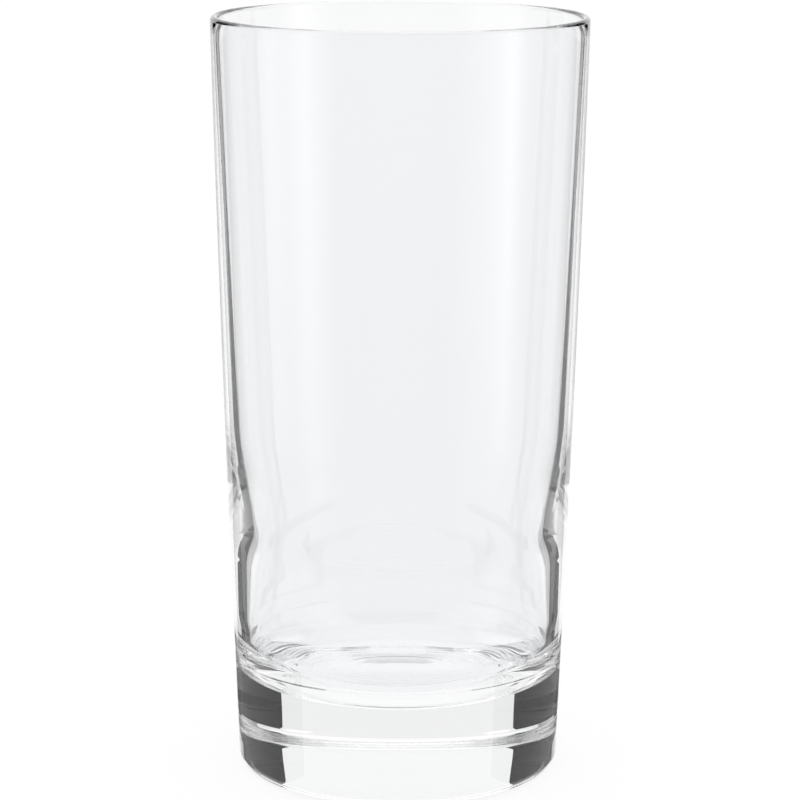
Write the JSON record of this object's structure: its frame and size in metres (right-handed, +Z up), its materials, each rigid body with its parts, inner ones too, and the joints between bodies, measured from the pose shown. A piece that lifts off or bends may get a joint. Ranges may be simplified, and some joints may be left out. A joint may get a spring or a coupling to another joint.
{
  "type": "highball glass",
  "caption": "Tall clear drinking glass with a plain rounded rim, gently tapered smooth walls that thicken downwards and a thick solid base.",
  "frame": {"origin": "middle of the underside, on the table", "axes": "+Z up along the glass's axis, from the base to the rim; X and Y lie in the table and are alike, because the glass is round"},
  "size_m": [0.072, 0.072, 0.147],
  "materials": {
    "clear_glass": "clear and glossy, rim and heel rounded by fire polishing"
  },
  "bodies": {
    "root": {"tumbler": "clear_glass"}
  },
  "joints": []
}
